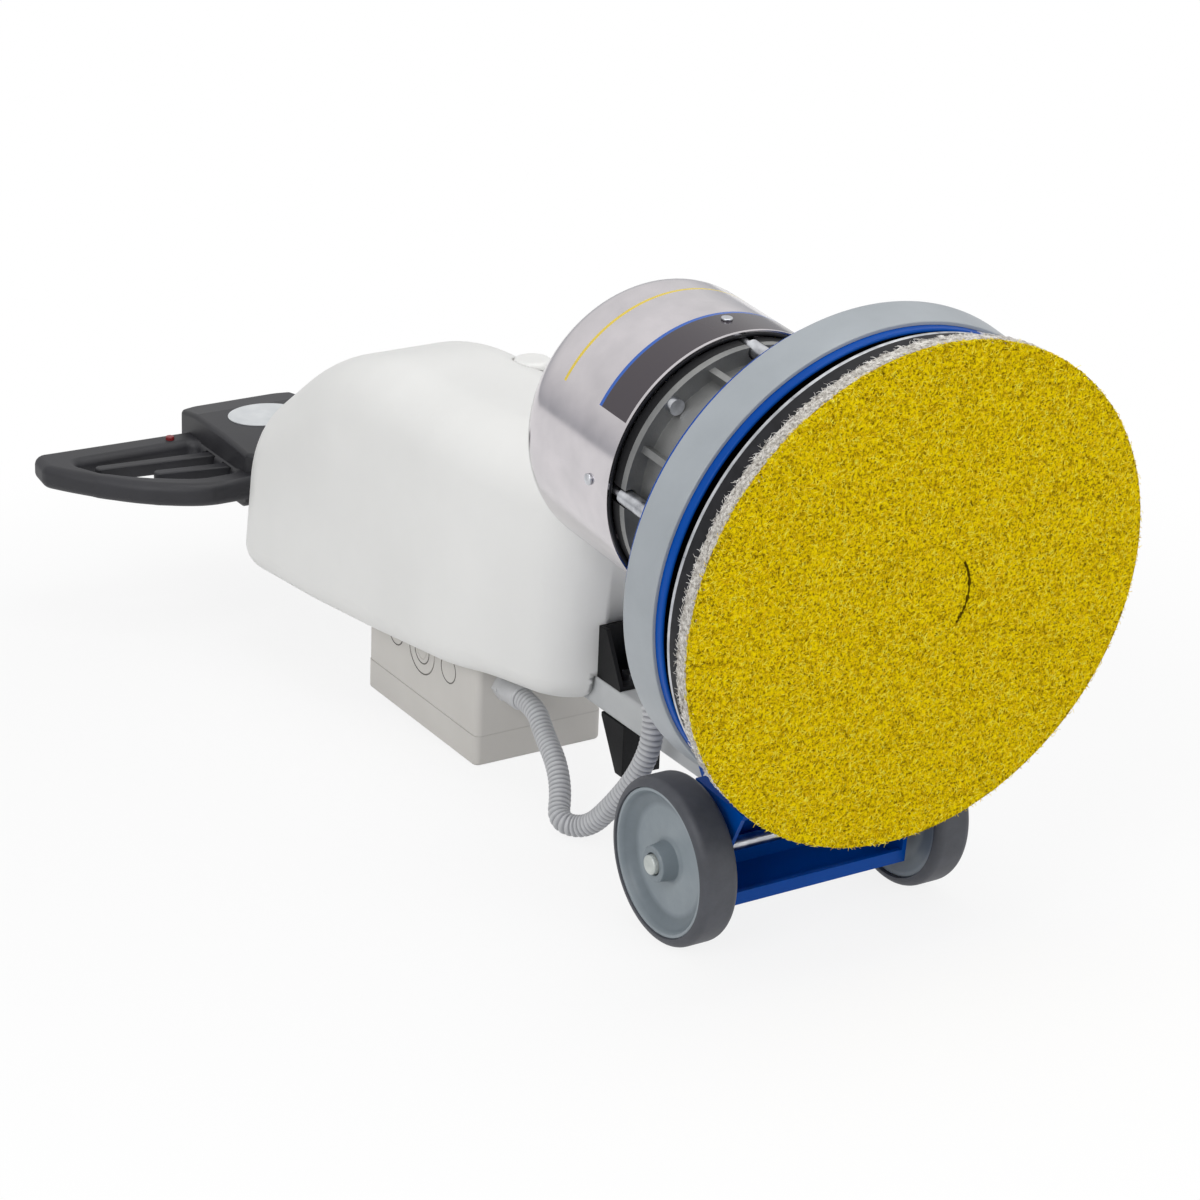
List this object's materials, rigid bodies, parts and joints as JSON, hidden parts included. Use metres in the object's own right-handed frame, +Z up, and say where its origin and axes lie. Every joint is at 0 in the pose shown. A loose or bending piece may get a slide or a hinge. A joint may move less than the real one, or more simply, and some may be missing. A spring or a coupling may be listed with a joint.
{
  "type": "floor polisher",
  "caption": "Walk-behind single-disc floor polisher tipped back on its wheels: pad and drive disc, geared motor under a polished cover, folding handle with tank and control box.",
  "frame": {"origin": "on the floor, midway along and across the machine as it lies", "axes": "+X across the machine to the side away from the viewer, +Y back along the handle, +Z up from the floor"},
  "size_m": [0.479, 1.2416, 0.5489],
  "materials": {
    "yellow_fibre": "open abrasive fibre",
    "white_fibre": "open fibre",
    "black_plastic": "fine grain",
    "steel": "bright zinc",
    "gear_steel": "ground",
    "copper_steel": "lacquered",
    "blue_paint": "gloss powder coat",
    "grey_rubber": "smooth",
    "cast_aluminium": "as cast",
    "polished_cover": "polished",
    "black_rubber": "smooth",
    "grey_plastic": "moulded",
    "tyre_rubber": "smooth tread",
    "grey_paint": "satin powder coat",
    "black_paint": "satin powder coat",
    "tank_white": "moulded, slightly translucent",
    "box_grey": "fine grain",
    "conduit_grey": "corrugated",
    "label_white": "film",
    "red_plastic": "moulded"
  },
  "bodies": {
    "chassis": {"deck": "blue_paint", "skirt": "grey_rubber", "gear_housing": "cast_aluminium", "ring_gear": "gear_steel", "output_bearings": "steel", "motor_adapter": "cast_aluminium", "motor_frame": "cast_aluminium", "stator": "copper_steel", "spindle_bearings": "steel", "motor_cover": "polished_cover", "cover_trim": "black_rubber", "cover_studs": "steel", "cover_screws": "steel", "housing_bolts": "steel", "wheel_bracket": "blue_paint", "bracket_bolts": "steel", "axle": "steel", "axle_caps": "steel", "hinge_bolt": "steel", "motor_gland": "conduit_grey"},
    "disc": {"pad_face": "yellow_fibre", "pad_backing": "white_fibre", "pad_holder": "black_plastic", "drive_disc": "steel", "drive_hub": "cast_aluminium", "drive_screws": "steel", "centre_bolt": "steel", "carrier": "gear_steel", "planet_pins": "gear_steel"},
    "rotor": {"spindle": "gear_steel", "rotor_core": "gear_steel", "fan": "black_plastic"},
    "planet_1": {"planet_gear_1": "gear_steel"},
    "planet_2": {"planet_gear_2": "gear_steel"},
    "planet_3": {"planet_gear_3": "gear_steel"},
    "wheel_left": {"wheel_hub_left": "grey_plastic", "tyre_left": "tyre_rubber"},
    "wheel_right": {"wheel_hub_right": "grey_plastic", "tyre_right": "tyre_rubber"},
    "handle": {"pole": "grey_paint", "shelf_bracket": "black_paint", "lower_bracket": "black_paint", "pole_bolts": "steel", "tank": "tank_white", "box_body": "box_grey", "box_lid": "box_grey", "lid_screws": "box_grey", "box_gland": "conduit_grey", "head_upper": "black_plastic", "head_lower": "black_plastic", "label_plate": "label_white", "conduit": "conduit_grey"},
    "cap": {"tank_cap": "tank_white"},
    "left_switch": {"switch_lever_left": "black_plastic"},
    "right_switch": {"switch_lever_right": "black_plastic"},
    "water_lever": {"valve_lever": "black_plastic"},
    "tilt_release": {"tilt_lever": "black_plastic"},
    "safety_button": {"red_button": "red_plastic"}
  },
  "joints": [
    {"name": "disc_spin", "type": "hinge", "parent": "chassis", "child": "disc", "pos_m": [0, -0.59085, 0.32496], "axis": [0, 0.9903, 0.1392], "continuous": true},
    {"name": "rotor_spin", "type": "hinge", "parent": "chassis", "child": "rotor", "pos_m": [0, -0.59085, 0.32496], "axis": [0, 0.9903, 0.1392], "continuous": true},
    {"name": "planet_1_spin", "type": "hinge", "parent": "disc", "child": "planet_1", "pos_m": [0, -0.41464, 0.38608], "axis": [0, 0.9903, 0.1392], "continuous": true},
    {"name": "planet_2_spin", "type": "hinge", "parent": "disc", "child": "planet_2", "pos_m": [0.03118, -0.40713, 0.33261], "axis": [0, 0.9903, 0.1392], "continuous": true},
    {"name": "planet_3_spin", "type": "hinge", "parent": "disc", "child": "planet_3", "pos_m": [-0.03118, -0.40713, 0.33261], "axis": [0, 0.9903, 0.1392], "continuous": true},
    {"name": "wheel_left_spin", "type": "hinge", "parent": "chassis", "child": "wheel_left", "pos_m": [0, -0.422, 0.072], "axis": [1, 0, 0], "continuous": true},
    {"name": "wheel_right_spin", "type": "hinge", "parent": "chassis", "child": "wheel_right", "pos_m": [0, -0.422, 0.072], "axis": [1, 0, 0], "continuous": true},
    {"name": "handle_tilt", "type": "hinge", "parent": "chassis", "child": "handle", "pos_m": [0, -0.35138, 0.09404], "axis": [-1, 0, 0], "range_deg": [0, 55], "deforming": ["conduit"]},
    {"name": "cap_turn", "type": "hinge", "parent": "handle", "child": "cap", "pos_m": [0.064, 0.1038, 0.33667], "axis": [0, -0.0519, 0.9987], "range_deg": [0, 90]},
    {"name": "left_switch_pull", "type": "hinge", "parent": "handle", "child": "left_switch", "pos_m": [-0.055, 0.53246, 0.15585], "axis": [0, 0.0698, -0.9976], "range_deg": [0, 4.5], "stiffness_Nm_per_rad": 2},
    {"name": "right_switch_pull", "type": "hinge", "parent": "handle", "child": "right_switch", "pos_m": [0.055, 0.53246, 0.15585], "axis": [0, -0.0698, 0.9976], "range_deg": [0, 4.5], "stiffness_Nm_per_rad": 2},
    {"name": "water_lever_pull", "type": "hinge", "parent": "handle", "child": "water_lever", "pos_m": [-0.055, 0.49555, 0.15327], "axis": [0, -0.0698, 0.9976], "range_deg": [0, 4], "stiffness_Nm_per_rad": 2},
    {"name": "tilt_release_pull", "type": "hinge", "parent": "handle", "child": "tilt_release", "pos_m": [0.055, 0.49555, 0.15327], "axis": [0, 0.0698, -0.9976], "range_deg": [0, 4], "stiffness_Nm_per_rad": 2},
    {"name": "safety_button_press", "type": "slide", "parent": "handle", "child": "safety_button", "axis": [0, 0.0698, -0.9976], "range_m": [0, 0.003], "stiffness_N_per_m": 400}
  ],
  "couplings": [
    {"joint": "rotor_spin", "follows": "disc_spin", "ratio": 6},
    {"joint": "planet_1_spin", "follows": "disc_spin", "ratio": -2.5},
    {"joint": "planet_2_spin", "follows": "disc_spin", "ratio": -2.5},
    {"joint": "planet_3_spin", "follows": "disc_spin", "ratio": -2.5}
  ]
}
